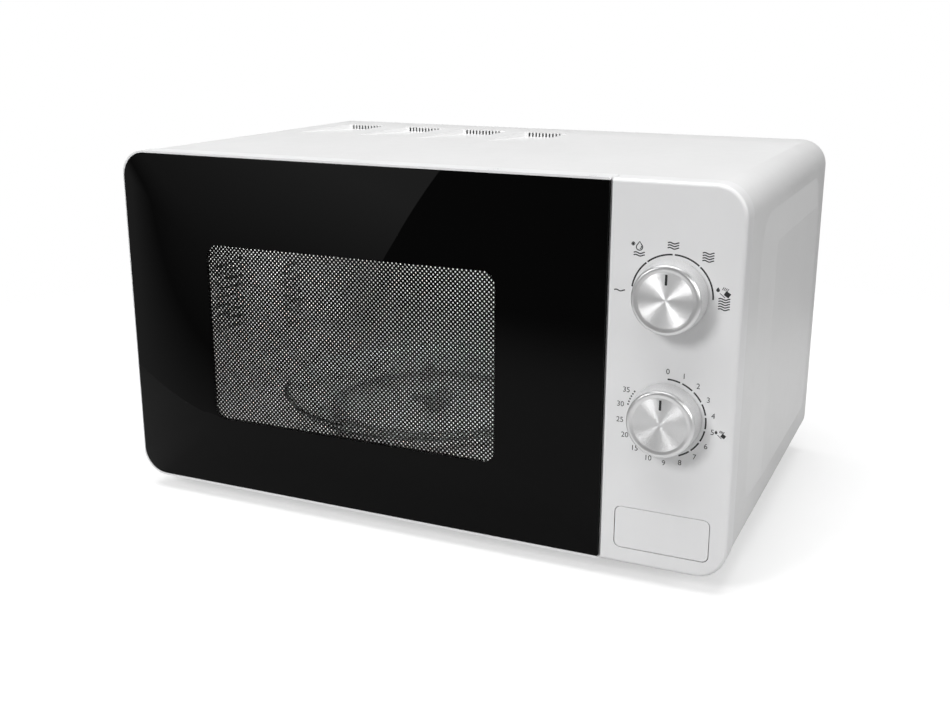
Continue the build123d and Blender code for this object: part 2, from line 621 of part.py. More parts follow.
# ---- door ----
window_x = (-166.0, 76.0)
window_z = (55.0, 203.0)
shelf_y = (-144.4, -143.0)
pillar_x = -210.5  # the solid end of the door frame that the hinge pins turn in
inside_x = door_right_x - plastic
with BuildPart() as door_frame:
    sides((-half_width, door_right_x), (bottom_z, top_z), (front_y, door_back_y), corner, 1.2)
    with BuildSketch(Plane.XY) as plan:
        with Locations(((door_right_x - half_width) / 2, (front_y + door_back_y) / 2)):
            Rectangle(door_right_x + half_width, door_back_y - front_y)
        rear_left = plan.vertices().group_by(Axis.X)[0].sort_by(Axis.Y)[-1]
        fillet(rear_left, hinge_x + half_width - 0.02)
        fillet(plan.vertices().group_by(Axis.X)[0].sort_by(Axis.Y)[0], 1.2)
    extrude(amount=300, mode=Mode.INTERSECT)
    sides(
        (1.4 - half_width, door_right_x + 1),
        (bottom_z + 1.4, top_z - 1.4),
        (front_y - 1, shelf_y[0]),
        corner - 1.4,
        0.1,
        Mode.SUBTRACT,
    )
    slab(window_x, window_z, (front_y, door_back_y), 12.0, Mode.SUBTRACT)
    sides(
        (pillar_x, inside_x),
        (bottom_z + plastic, top_z - plastic),
        (shelf_y[1], door_back_y),
        2.0,
        2.0,
        Mode.SUBTRACT,
    )
    for z in hinge_tab_z:
        bar((-227, -207), (-143.8, -131), (z - 1.2, z + tab + 1.2), Mode.SUBTRACT)
    bore = hinge_pin_radius + running_gap
    rod("Z", (hinge_x, hinge_y), bore, (24.0, hinge_tab_z[0]), Mode.SUBTRACT)
    rod("Z", (hinge_x, hinge_y), bore, (hinge_tab_z[1], 248.0), Mode.SUBTRACT)
    for z in (64.0, 222.0):
        bar((117.0, 121.4), (shelf_y[1], -137.0), (z - 6, z + 6))
    bar((126.0, 134.0), (shelf_y[1], -136.6), (232.0, 236.0))

with BuildPart() as door_glass:
    sides(
        (1.5 - half_width, 142.5),
        (bottom_z + 1.5, top_z - 1.5),
        (front_y, front_y + glass_thickness),
        corner - 1.5,
        0.6,
    )
    fillet(door_glass.faces().sort_by(Axis.Y)[0].edges(), 0.4)

with BuildPart() as window_screen:
    slab(
        (window_x[0] + 0.5, window_x[1] - 0.5),
        (window_z[0] + 0.5, window_z[1] - 0.5),
        (shelf_y[1] - 0.6, shelf_y[1]),
        11.5,
    )

pan_x = (-209.6, 114.0)
pan_z = (22.0, 248.0)
with BuildPart() as door_panel:
    slab(pan_x, pan_z, (shelf_y[1], -134.0), 8.0)
    slab(
        (pan_x[0] + steel, pan_x[1] - steel),
        (pan_z[0] + steel, pan_z[1] - steel),
        (shelf_y[1] + steel, -133),
        7.2,
        Mode.SUBTRACT,
    )
    slab((-172, 82), (49, 209), (shelf_y[1], -135.0), 14)
    slab((-171.2, 81.2), (49.8, 208.2), (shelf_y[1] + steel, -134.0), 13.2, Mode.SUBTRACT)
    slab((-160, 70), (61, 197), (shelf_y[1] - 1, -130.0), 9, Mode.SUBTRACT)

cover_y = (-132.8, door_back_y)
with BuildPart() as choke_cover:
    slab((pillar_x + 0.3, inside_x - 0.3), (bottom_z + plastic + 0.3, top_z - plastic - 0.3), cover_y, 2.0)
    slab((-168, 78), (53, 205), (cover_y[0] - 1, cover_y[1] + 1), 12.0, Mode.SUBTRACT)
    for z in hook_z:
        bar((hook_x[0] - 1, hook_x[1] + 1), (cover_y[0] - 1, cover_y[1] + 1), (z - 6, z + 13), Mode.SUBTRACT)

with BuildPart() as inner_window:
    slab((-171.0, 81.0), (50.0, 208.0), (cover_y[0] - 1.2, cover_y[0]), 13.0)

# ---- latch hooks: one plate inside the door with a hook at either end, and its spring ----
with BuildPart() as latch_hooks:
    bar((122.0, 137.0), (-141.6, -139.4), (70.0, 224.0))
    for z in hook_z:
        bar(hook_x, (-140.0, hook_tip_y), (z, z + 7))
        bar(hook_x, (hook_tip_y - 8, hook_tip_y), (z - lip_drop, z))
        with BuildSketch(Plane.YZ.offset(hook_x[0])):
            Polygon((hook_tip_y, z), (hook_tip_y, z + 7), (hook_tip_y - 7, z + 7), align=None)
        extrude(amount=hook_x[1] - hook_x[0], mode=Mode.SUBTRACT)

with BuildPart() as latch_spring:
    coil(2.2, 0.3, 1.9, 4, (129.75, -140.0, 224.2), (0, 0, 1))

# ---- mains filter board on the cavity roof ----
board_z = (243.0, 244.6)
with BuildPart() as filter_board:
    bar((36.0, 98.0), (60.0, 122.0), board_z)
    for x in (41.0, 93.0):
        for y in (65.0, 117.0):
            rod("Z", (x, y), 2.6, (cavity_z[1] + thin_steel, board_z[0]))

with BuildPart() as filter_components:
    with Locations((58, 90, board_z[1] + 4)):
        Cylinder(11, 8)
        Cylinder(4.5, 9, mode=Mode.SUBTRACT)
    bar((74.0, 92.0), (68.0, 78.0), (board_z[1], board_z[1] + 9))
    bar((74.0, 92.0), (84.0, 94.0), (board_z[1], board_z[1] + 9))
    rod("X", (106.0, board_z[1] + 4), 3.0, (46.0, 74.0))
    for x in (48.0, 72.0):
        bar((x - 3, x + 3), (102.5, 109.5), (board_z[1], board_z[1] + 4))

pieces = {
    "cabinet": cabinet,
    "rear_panel": rear_panel,
    "cabinet_screws": cabinet_screws,
    "rear_spacer": rear_spacer,
    "cord_gland": cord_gland,
    "base_plate": base_plate,
    "feet": feet,
    "front_plate": front_plate,
    "upper_hinge": upper_hinge,
    "lower_hinge": lower_hinge,
    "cavity": cavity,
    "waveguide_cover": waveguide_cover,
    "waveguide": waveguide,
    "magnetron_yoke": magnetron_yoke,
    "magnetron_tube": magnetron_tube,
    "magnetron_fins": magnetron_fins,
    "magnetron_filter_box": magnetron_filter_box,
    "transformer_core": transformer_core,
    "transformer_windings": transformer_windings,
    "capacitor": capacitor,
    "capacitor_clamp": capacitor_clamp,
    "high_voltage_diode": high_voltage_diode,
    "thermal_cutout": thermal_cutout,
    "fan_shroud": fan_shroud,
    "fan_motor": fan_motor,
    "fan_blades": fan_blades,
    "lamp_holder": lamp_holder,
    "cavity_lamp": cavity_lamp,
    "control_panel": control_panel,
    "power_selector": power_selector,
    "timer_unit": timer_unit,
    "timer_motor": timer_motor,
    "bell": bell_and_arm,
    "power_knob": power_knob,
    "power_knob_face": power_knob_face,
    "power_shaft": power_shaft,
    "timer_knob": timer_knob,
    "timer_knob_face": timer_knob_face,
    "timer_shaft": timer_shaft,
    "door_button": door_button,
    "button_spring": button_spring,
    "release_lever": release_lever,
    "latch_bracket": latch_bracket,
    "door_switches": door_switches,
    "turntable_motor": turntable_motor,
    "turntable_coupler": turntable_coupler,
    "roller_ring": roller_ring,
    "roller_1": roller_1,
    "roller_2": roller_2,
    "roller_3": roller_3,
    "glass_tray": glass_tray,
    "door_frame": door_frame,
    "door_glass": door_glass,
    "window_screen": window_screen,
    "door_panel": door_panel,
    "choke_cover": choke_cover,
    "inner_window": inner_window,
    "latch_hooks": latch_hooks,
    "latch_spring": latch_spring,
}
# filter_board carries its parts, so both are written as one file
with BuildPart() as filter_assembly:
    add(filter_board.part)
    add(filter_components.part)
pieces["filter_board"] = filter_assembly
for name, piece in pieces.items():
    piece.part.label = name
    export_step(piece.part, f"parts/{name}.step")
print(len(pieces), "pieces")
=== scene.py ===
import bpy
import bmesh
import json
import math
from mathutils import Matrix, Vector

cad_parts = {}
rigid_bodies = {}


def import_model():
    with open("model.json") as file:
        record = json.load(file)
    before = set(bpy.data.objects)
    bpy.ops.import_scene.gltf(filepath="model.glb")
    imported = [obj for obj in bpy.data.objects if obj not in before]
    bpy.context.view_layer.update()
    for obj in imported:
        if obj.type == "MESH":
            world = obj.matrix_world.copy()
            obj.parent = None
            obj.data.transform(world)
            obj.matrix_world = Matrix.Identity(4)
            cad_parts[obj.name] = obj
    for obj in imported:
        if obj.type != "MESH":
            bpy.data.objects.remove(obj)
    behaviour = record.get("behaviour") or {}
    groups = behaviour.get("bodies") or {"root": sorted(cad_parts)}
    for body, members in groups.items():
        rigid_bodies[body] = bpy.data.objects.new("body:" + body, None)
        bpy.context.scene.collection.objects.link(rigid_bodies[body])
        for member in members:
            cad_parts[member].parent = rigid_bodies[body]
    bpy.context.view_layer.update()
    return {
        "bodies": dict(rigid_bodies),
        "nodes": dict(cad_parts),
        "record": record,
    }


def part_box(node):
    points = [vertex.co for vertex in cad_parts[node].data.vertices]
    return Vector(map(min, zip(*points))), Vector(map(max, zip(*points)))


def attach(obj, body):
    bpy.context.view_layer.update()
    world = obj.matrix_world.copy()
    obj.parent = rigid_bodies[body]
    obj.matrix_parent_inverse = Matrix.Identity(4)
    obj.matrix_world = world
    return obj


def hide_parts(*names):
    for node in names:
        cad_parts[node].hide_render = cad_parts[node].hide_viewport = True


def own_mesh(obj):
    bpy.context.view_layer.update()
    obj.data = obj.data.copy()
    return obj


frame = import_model()
nodes = frame["nodes"]
mm = 0.001
print("frame loaded:", len(nodes), "nodes")


def metres(table):
    # the dictionaries of sizes below are in millimetres
    return {name: tuple(v * mm for v in value) if isinstance(value, tuple) else value * mm
            for name, value in table.items()}


class Wire:
    # one output of a node; arithmetic on it adds Math nodes
    def __init__(self, look, socket):
        self.look = look
        self.socket = socket

    def math(self, operation, *others):
        return self.look.add("ShaderNodeMath", {"operation": operation}, dict(enumerate((self, *others))))

    def __add__(self, other):
        return self.math("ADD", other)

    def __mul__(self, other):
        return self.math("MULTIPLY", other)

    __radd__ = __add__
    __rmul__ = __mul__


class Look:
    # a node tree being built, for a material or for the world
    def __init__(self, owner):
        owner.use_nodes = True
        self.owner = owner
        self.tree = owner.node_tree
        self.tree.nodes.clear()

    def add(self, kind, settings=None, sockets=None, output=0):
        node = self.tree.nodes.new(kind)
        for name, value in (settings or {}).items():
            if name == "stops":
                ramp = node.color_ramp
                while len(ramp.elements) < len(value):
                    ramp.elements.new(1.0)
                for element, (place, tone) in zip(ramp.elements, value):
                    element.position = place
                    element.color = (tone, tone, tone, 1)
            else:
                setattr(node, name, value)
        for name, value in (sockets or {}).items():
            if isinstance(value, Wire):
                self.tree.links.new(value.socket, node.inputs[name])
            else:
                node.inputs[name].default_value = value
        return Wire(self, node.outputs[output]) if node.outputs else None

    def coords(self, stretch=(1, 1, 1)):
        place = self.add("ShaderNodeTexCoord", output="Object")
        return self.add("ShaderNodeMapping", None, {"Vector": place, "Scale": stretch})

    def noise(self, size, detail=2.0, stretch=(1, 1, 1)):
        # size is the width of one blotch
        sockets = {"Vector": self.coords(stretch), "Scale": 1 / size, "Detail": detail, "Roughness": 0.55}
        return self.add("ShaderNodeTexNoise", None, sockets)

    def waves(self, pitch, axis, distortion=0.0, shape="SIN"):
        # one ridge each pitch along an axis
        settings = {"wave_type": "BANDS", "bands_direction": axis, "wave_profile": shape}
        return self.add("ShaderNodeTexWave", settings,
                        {"Vector": self.coords(), "Scale": math.pi / (10 * pitch), "Distortion": distortion})

    def ramp(self, wire, *stops):
        return self.add("ShaderNodeValToRGB", {"stops": stops}, {"Fac": wire})

    def blend(self, factor, one, two):
        # a colour Mix node has its factor, A and B at sockets 0, 6 and 7
        sockets = {0: factor, 6: (*one, 1), 7: (*two, 1)}
        return self.add("ShaderNodeMix", {"data_type": "RGBA"}, sockets, output=2)

    def bump(self, height, depth, strength):
        return self.add("ShaderNodeBump", None, {"Height": height, "Distance": depth, "Strength": strength})

    def surface(self, **sockets):
        names = {"color": "Base Color", "roughness": "Roughness", "metallic": "Metallic", "normal": "Normal",
                 "ior": "IOR", "coat": "Coat Weight", "coatRoughness": "Coat Roughness", "alpha": "Alpha",
                 "transmission": "Transmission Weight", "specular": "Specular IOR Level",
                 "glow": "Emission Color", "glowStrength": "Emission Strength"}
        values = {names[key]: (*v, 1) if isinstance(v, tuple) else v for key, v in sockets.items()}
        return self.add("ShaderNodeBsdfPrincipled", None, values)

    def close(self, shader, kind="ShaderNodeOutputMaterial"):
        self.add(kind, None, {"Surface": shader})
        return self.owner


def newLook(name):
    return Look(bpy.data.materials.new(name))


def tinted(color, amount):
    # the same colour a little lighter or darker
    return tuple(min(1.0, channel * amount) for channel in color)


clearTable = {
    "doorGlass": {"ior": 1.22, "tint": (0.97, 0.98, 0.98)},
    "trayGlass": {"ior": 1.25, "tint": (0.90, 0.94, 0.93)},
    "innerSheet": {"ior": 1.06, "tint": (0.97, 0.98, 0.98)},
}
steelTable = {
    "platedSteel": {"color": (0.50, 0.51, 0.52), "along": (1, 0.12, 1), "roughness": (0.28, 0.5)},
    "springWire": {"color": (0.42, 0.42, 0.43), "along": (1, 1, 0.3), "roughness": (0.2, 0.34)},
    "finAluminium": {"color": (0.72, 0.73, 0.74), "along": (1, 0.2, 1), "roughness": (0.3, 0.45)},
}
finishTable = {
    "whiteEnamel": {"color": (0.80, 0.80, 0.80), "roughness": (0.30, 0.42), "peel": 2.2, "coat": 0.15},
    "cavityEnamel": {"color": (0.66, 0.66, 0.65), "roughness": (0.30, 0.42), "peel": 2.0, "coat": 0.15},
    "whiteMoulding": {"color": (0.83, 0.83, 0.835), "roughness": (0.26, 0.36), "grain": 0.25},
    "blackMoulding": {"color": (0.016, 0.016, 0.017), "roughness": (0.42, 0.58), "grain": 0.5},
    "greyMoulding": {"color": (0.30, 0.30, 0.31), "roughness": (0.40, 0.55), "grain": 0.5},
    "footRubber": {"color": (0.022, 0.022, 0.022), "roughness": (0.65, 0.85), "grain": 0.9},
}


def enamel(name, coat, peel, color, roughness):
    # sprayed enamel: a faint orange peel a couple of millimetres wide under a smooth skin
    look = newLook(name)
    broad = look.noise(60 * mm, 2)
    tone = look.blend(look.ramp(broad, (0.3, 0), (0.7, 1)), tinted(color, 0.985), tinted(color, 1.01))
    rough = look.ramp(look.noise(9 * mm, 3), (0.25, roughness[0]), (0.75, roughness[1]))
    skin = look.bump(look.noise(peel * mm, 1.5), 0.02 * mm, 0.35)
    return look.close(look.surface(color=tone, roughness=rough, normal=skin, coat=coat, coatRoughness=0.12))


def moulding(name, grain, color, roughness):
    # moulded plastic: fine spark-eroded grain, with flow marks in its sheen
    look = newLook(name)
    flow = look.noise(45 * mm, 3, stretch=(1, 1, 0.35))
    tone = look.blend(look.ramp(flow, (0.3, 0), (0.7, 1)), tinted(color, 0.98), tinted(color, 1.012))
    rough = look.ramp(flow + look.noise(0.8 * mm, 1) * 0.3, (0.35, roughness[0]), (0.95, roughness[1]))
    skin = look.bump(look.noise(grain * mm, 2), 0.012 * mm, 0.4)
    return look.close(look.surface(color=tone, roughness=rough, normal=skin))


def sheetSteel(name, color, along, roughness):
    # plated metal: rolling marks along one axis and a pale spangle
    look = newLook(name)
    flake = {"Vector": look.coords(), "Scale": 1 / (7 * mm)}
    spangle = look.add("ShaderNodeTexVoronoi", None, flake, output="Color")
    grey = look.add("ShaderNodeRGBToBW", None, {"Color": spangle})
    rolled = look.noise(1.1 * mm, 3, stretch=along)
    tone = look.blend(grey * 0.6 + rolled * 0.4, tinted(color, 0.82), tinted(color, 1.15))
    rough = look.ramp(grey * 0.5 + rolled * 0.5, (0.2, roughness[0]), (0.8, roughness[1]))
    skin = look.bump(rolled, 0.01 * mm, 0.4)
    return look.close(look.surface(color=tone, metallic=1.0, roughness=rough, normal=skin))


def turnedMetal(name):
    # satin anodised cap; its grooves are real, so this adds only the fine tooth between them
    look = newLook(name)
    tooth = look.noise(0.5 * mm, 2)
    tone = look.blend(tooth, (0.86, 0.86, 0.865), (0.94, 0.94, 0.94))
    rough = look.ramp(tooth, (0.3, 0.30), (0.7, 0.40))
    skin = look.bump(tooth, 0.004 * mm, 0.4)
    return look.close(look.surface(color=tone, metallic=1.0, roughness=rough, normal=skin))


def satinSkirt(name):
    # silver paint on the knob's side, with a sparkle of flake
    look = newLook(name)
    flake = look.noise(0.45 * mm, 2)
    tone = look.blend(look.ramp(flake, (0.35, 0), (0.7, 1)), (0.62, 0.62, 0.625), (0.80, 0.80, 0.80))
    rough = look.ramp(flake, (0.3, 0.34), (0.7, 0.48))
    skin = look.bump(flake, 0.02 * mm, 0.5)
    return look.close(look.surface(color=tone, metallic=0.4, roughness=rough, normal=skin))


def clearSheet(name, ior, tint):
    # clear, with the barest smear in its gloss
    look = newLook(name)
    smear = look.ramp(look.noise(40 * mm, 3, stretch=(1, 1, 0.4)), (0.3, 0.0), (0.8, 0.02))
    return look.close(look.surface(color=tint, transmission=1.0, ior=ior, roughness=smear))


def blackPrint(name, ior):
    # black fired on the back of polished glass: almost nothing but the reflection of its face
    look = newLook(name)
    cover = look.noise(30 * mm, 2)
    tone = look.blend(cover, (0.0002, 0.0002, 0.0002), (0.0004, 0.0004, 0.0004))
    smear = look.ramp(look.noise(40 * mm, 3, stretch=(1, 1, 0.4)), (0.3, 0.0), (0.8, 0.03))
    return look.close(look.surface(color=tone, ior=ior, roughness=smear))


def panelInk(name):
    # printed scales: dense grey-black with slightly uneven cover
    look = newLook(name)
    cover = look.noise(0.35 * mm, 2)
    tone = look.blend(cover, (0.010, 0.010, 0.011), (0.030, 0.030, 0.031))
    return look.close(look.surface(color=tone, roughness=look.ramp(cover, (0.3, 0.45), (0.7, 0.6))))


def screenPaint(name):
    # black paint on the perforated screen
    look = newLook(name)
    grain = look.noise(0.5 * mm, 2)
    tone = look.blend(grain, (0.001, 0.001, 0.001), (0.003, 0.003, 0.003))
    rough = look.ramp(grain, (0.3, 0.5), (0.7, 0.7))
    return look.close(look.surface(color=tone, roughness=rough, specular=0.05))


def lamination(name):
    # varnished stack of thin steel plates, edge on
    look = newLook(name)
    plates = look.waves(1.0 * mm, "Y")
    stain = look.noise(12 * mm, 4)
    tone = look.blend(plates * 0.5 + stain * 0.5, (0.05, 0.045, 0.042), (0.22, 0.20, 0.18))
    rough = look.ramp(stain, (0.3, 0.35), (0.7, 0.6))
    skin = look.bump(plates, 0.1 * mm, 0.6)
    return look.close(look.surface(color=tone, metallic=0.6, roughness=rough, normal=skin))


def windings(name):
    # lacquered wire laid side by side
    look = newLook(name)
    turns = look.waves(0.9 * mm, "Z", 0.4)
    lacquer = look.noise(6 * mm, 3)
    tone = look.blend(lacquer, (0.42, 0.14, 0.05), (0.66, 0.27, 0.10))
    rough = look.ramp(lacquer, (0.3, 0.22), (0.7, 0.4))
    skin = look.bump(turns, 0.35 * mm, 0.8)
    return look.close(look.surface(color=tone, metallic=0.9, roughness=rough, normal=skin))


def mica(name):
    # pressed mica: soft flakes in grey-brown
    look = newLook(name)
    flakes = look.noise(5 * mm, 5)
    tone = look.blend(look.ramp(flakes, (0.35, 0), (0.65, 1)), (0.34, 0.30, 0.24), (0.56, 0.52, 0.44))
    rough = look.ramp(flakes, (0.3, 0.3), (0.7, 0.55))
    return look.close(look.surface(color=tone, roughness=rough, normal=look.bump(flakes, 0.05 * mm, 0.4)))


def boardGreen(name):
    # solder-masked board, with darker tracks
    look = newLook(name)
    tracks = look.waves(5 * mm, "X", 1.5, "TRI")
    tone = look.blend(look.ramp(tracks, (0.62, 0), (0.7, 1)), (0.02, 0.10, 0.03), (0.05, 0.19, 0.06))
    rough = look.ramp(look.noise(8 * mm), (0.3, 0.25), (0.7, 0.4))
    return look.close(look.surface(color=tone, roughness=rough, normal=look.bump(tracks, 0.03 * mm, 0.5)))


def frostedBulb(name):
    # frosted glass, lit from inside
    look = newLook(name)
    frost = look.noise(0.8 * mm, 2)
    tone = look.blend(frost, (0.90, 0.88, 0.82), (0.97, 0.96, 0.92))
    rough = look.ramp(frost, (0.3, 0.35), (0.7, 0.5))
    return look.close(look.surface(color=tone, roughness=rough, glow=(1.0, 0.93, 0.82), glowStrength=1.5))


def bellMetal(name):
    # brass cup, with drawing marks
    look = newLook(name)
    drawn = look.noise(3 * mm, 3, stretch=(1, 0.2, 1))
    tone = look.blend(drawn, (0.48, 0.40, 0.22), (0.64, 0.55, 0.32))
    rough = look.ramp(drawn, (0.3, 0.2), (0.7, 0.34))
    return look.close(look.surface(color=tone, metallic=1.0, roughness=rough))


def makeFinishes():
    # one material for each of the record's slots
    made = {
        "knob_moulding": satinSkirt("satinSkirt"),
        "knob_metal": turnedMetal("turnedMetal"),
        "screen_metal": screenPaint("screenPaint"),
        "core_steel": lamination("lamination"),
        "winding_copper": windings("windings"),
        "mica": mica("mica"),
        "bell_metal": bellMetal("bellMetal"),
        "bulb_glass": frostedBulb("frostedBulb"),
        "circuit_board": boardGreen("boardGreen"),
    }
    for slot, name in {"white_enamel": "whiteEnamel", "cavity_enamel": "cavityEnamel"}.items():
        made[slot] = enamel(name, **finishTable[name])
    for slot, name in {"white_moulding": "whiteMoulding", "black_moulding": "blackMoulding",
                       "grey_moulding": "greyMoulding", "foot_rubber": "footRubber"}.items():
        made[slot] = moulding(name, **finishTable[name])
    for slot, name in {"black_glass": "doorGlass", "clear_glass": "trayGlass",
                       "clear_film": "innerSheet"}.items():
        made[slot] = clearSheet(name, **clearTable[name])
    for slot, name in {"plated_steel": "platedSteel", "spring_steel": "springWire",
                       "fin_aluminium": "finAluminium"}.items():
        made[slot] = sheetSteel(name, **steelTable[name])
    for row in frame["record"]["subparts"]:
        mesh = nodes[row["node"]].data
        mesh.materials.clear()
        mesh.materials.append(made[row["material_slot"]])
    made["print"] = blackPrint("blackPrint", clearTable["doorGlass"]["ior"])
    made["ink"] = panelInk("panelInk")
    return made


finishes = makeFinishes()
print("finishes:", len(finishes))


def finishPiece(name, bm, body, finish, stands=(), crease=32):
    bmesh.ops.remove_doubles(bm, verts=bm.verts, dist=1e-7)
    bmesh.ops.recalc_face_normals(bm, faces=bm.faces)
    mesh = bpy.data.meshes.new(name)
    bm.to_mesh(mesh)
    bm.free()
    mesh.shade_smooth()
    mesh.set_sharp_from_angle(angle=math.radians(crease))
    mesh.materials.append(finishes[finish])
    piece = bpy.data.objects.new(name, mesh)
    bpy.context.scene.collection.objects.link(piece)
    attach(piece, body)
    if stands:
        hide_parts(*stands)
    return piece


def roundedFace(bm, corners, radii, segments):
    # a flat polygon of four corners, each rounded by its own radius; bm holds no other face
    verts = [bm.verts.new(corner) for corner in corners]
    bm.faces.new(verts)
    for vert, radius in zip(verts, radii):
        bmesh.ops.bevel(bm, geom=[vert], offset=radius, offset_type="OFFSET", segments=segments,
                        profile=0.5, affect="VERTICES", material=-1)
    bm.faces.ensure_lookup_table()
    return bm.faces[0]


def upright(x, z, y):
    # corners of a rectangle facing the front, from low left, anticlockwise
    return [(x[0], y, z[0]), (x[1], y, z[0]), (x[1], y, z[1]), (x[0], y, z[1])]


def edgeLoop(bm, corners, radii, segments):
    # the outline of roundedFace alone, as a list of edges
    before = set(bm.edges)
    bmesh.ops.delete(bm, geom=[roundedFace(bm, corners, radii, segments)], context="FACES_ONLY")
    return [edge for edge in bm.edges if edge not in before]


def thickened(bm, faces, offset):
    # extrudes flat faces into a solid slab and returns the verts of its far side
    made = bmesh.ops.extrude_face_region(bm, geom=faces)
    verts = [item for item in made["geom"] if isinstance(item, bmesh.types.BMVert)]
    bmesh.ops.translate(bm, verts=verts, vec=offset)
    return verts


def softened(bm, edges, size, segments=3):
    bmesh.ops.bevel(bm, geom=edges, offset=size, offset_type="OFFSET", segments=segments, profile=0.5,
                    affect="EDGES", clamp_overlap=True, material=-1)


cabinetSize = metres({
    "corner": 19.4,
    "sheet": 0.8,
    "bossRise": 2.6,
    "rearFlange": 14.0,
    "rearEdge": 1.2,
    "ventY": (22.0, 72.0, 112.0),
    "ventDepth": 3.8,
    "ventEnd": 3.0,
    "slotPitch": 3.0,
    "bossOuterY": (-98.0, 127.0),
    "bossOuterZ": (45.5, 234.5),
    "bossInnerY": (-58.0, 110.0),
    "bossInnerZ": (49.5, 212.5),
    "bossOuterRadii": (12.0, 12.0, 26.0, 26.0),
    "bossInnerRadii": (6.0, 6.0, 7.0, 7.0),
})


# a back edge is one that turns by more than this, in radians
foldAngle = 1.2
ventSpans = [(-187.5, -150.5), (-130.0, -92.5), (-75.0, -34.0), (-17.0, 21.0)]


def facesWhere(bm, axis, test, square=0.9):
    # the faces nearly square to an axis whose middle passes a test
    bm.normal_update()
    return [f for f in bm.faces if abs(f.normal[axis]) > square and test(f.calc_center_median())]


def cutAcross(bm, faces, point, normal):
    geometry = set(faces)
    for face in faces:
        geometry.update(face.edges)
        geometry.update(face.verts)
    bmesh.ops.bisect_plane(bm, geom=list(geometry), dist=1e-7, plane_co=point, plane_no=normal)


def sinkVent(bm, x0, x1, lidFaces, size, top):
    # one sunk field: level at its front, deepest at a rear wall that is cut into a comb of slots
    front, rear = size["ventY"][0], size["ventY"][2]
    end, half = size["ventEnd"], size["slotPitch"] / 2
    vent = [f for f in lidFaces if x0 < f.calc_center_median().x < x1
            and front < f.calc_center_median().y < rear]
    for vert in thickened(bm, vent, (0, 0, -size["ventDepth"])):
        fall = (vert.co.y - front) / (rear - front)
        vert.co.z += size["ventDepth"] * (1 - fall)
        vert.co.x += end * fall * (1 if vert.co.x < (x0 + x1) / 2 else -1)
    bmesh.ops.delete(bm, geom=vent, context="FACES")

    def wall(left, right):
        return facesWhere(bm, 1, lambda middle: abs(middle.y - rear) < 0.1 * mm and left < middle.x < right
                          and middle.z > top - size["ventDepth"])

    for cut in range(int((x1 - x0 - 2 * end) / (2 * half)) * 2 + 1):
        cutAcross(bm, wall(x0, x1), (x0 + end + cut * half, 0, 0), (1, 0, 0))
    gaps = [f for f in wall(x0 + end, x1 - end)
            if int((f.calc_center_median().x - x0 - end) / half) % 2 == 0]
    bmesh.ops.delete(bm, geom=gaps, context="FACES")


def makeCabinet(size):
    # a sheet wrapped over the top and sides, with a flange turned in round the back
    low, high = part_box("cabinet")
    half = high.x - size["bossRise"]
    bm = bmesh.new()
    face = roundedFace(bm, upright((-half, half), (low.z, high.z), low.y), [size["corner"]] * 4, 14)
    thickened(bm, [face], (0, high.y - low.y, 0))
    rear = facesWhere(bm, 1, lambda middle: middle.y > high.y - mm)
    bmesh.ops.inset_region(bm, faces=rear, thickness=size["rearFlange"], use_even_offset=True)
    bmesh.ops.delete(bm, geom=rear, context="FACES")
    bmesh.ops.delete(bm, geom=facesWhere(bm, 1, lambda middle: middle.y < low.y + mm), context="FACES")
    under = [f for f in bm.faces if f.calc_center_median().z < low.z + size["rearFlange"]
             and abs(f.calc_center_median().x) < mm]
    bmesh.ops.delete(bm, geom=under, context="FACES")
    backEdge = [e for e in bm.edges if len(e.link_faces) == 2 and e.calc_face_angle(0) > foldAngle
                and min(v.co.y for v in e.verts) > high.y - mm]
    softened(bm, backEdge, size["rearEdge"])

    def lid():
        return facesWhere(bm, 2, lambda middle: middle.z > high.z - 0.1 * mm, 0.99)

    spans = [(x0 * mm, x1 * mm) for x0, x1 in ventSpans]
    for x in (side for span in spans for side in span):
        cutAcross(bm, lid(), (x, 0, 0), (1, 0, 0))
    for y in size["ventY"]:
        cutAcross(bm, lid(), (0, y, 0), (0, 1, 0))
    for x0, x1 in spans:
        sinkVent(bm, x0, x1, lid(), size, high.z)
    bmesh.ops.remove_doubles(bm, verts=bm.verts, dist=1e-6)
    bmesh.ops.recalc_face_normals(bm, faces=bm.faces)
    bmesh.ops.solidify(bm, geom=bm.faces[:], thickness=size["sheet"])
    return finishPiece("cabinetShell", bm, "chassis", "white_enamel", ["cabinet"], 24)


def makeBoss(name, side, size):
    # the raised field pressed into one side: a slope all round and a flat crest
    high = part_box("cabinet")[1]
    root = high.x - size["bossRise"] - 0.1 * mm
    bm = bmesh.new()
    loops = []
    for y, z, radii, x in (("bossOuterY", "bossOuterZ", "bossOuterRadii", root),
                           ("bossInnerY", "bossInnerZ", "bossInnerRadii", high.x)):
        (y0, y1), (z0, z1) = size[y], size[z]
        corners = [(side * x, y0, z0), (side * x, y1, z0), (side * x, y1, z1), (side * x, y0, z1)]
        loops.append(edgeLoop(bm, corners, size[radii], 10))
    bmesh.ops.bridge_loops(bm, edges=loops[0] + loops[1])
    for loop in loops:
        bmesh.ops.contextual_create(bm, geom=loop)
    finishPiece(name, bm, "chassis", "white_enamel", crease=1.8)


makeCabinet(cabinetSize)
makeBoss("rightField", 1, cabinetSize)
makeBoss("leftField", -1, cabinetSize)
print("cabinet made")


doorSize = metres({
    "windowX": (-155.4, 68.9),
    "windowZ": (64.7, 195.2),
    "windowRadius": 10.0,
    "borderRadius": 18.5,
    "squareCorner": 0.6,
    "glassEdge": 0.35,
    "cell": 3.2,
    "hole": 0.6,
    "screenMargin": 4.2,
    "marginCorner": 11.5,
    "holedCorner": 0.4,
})


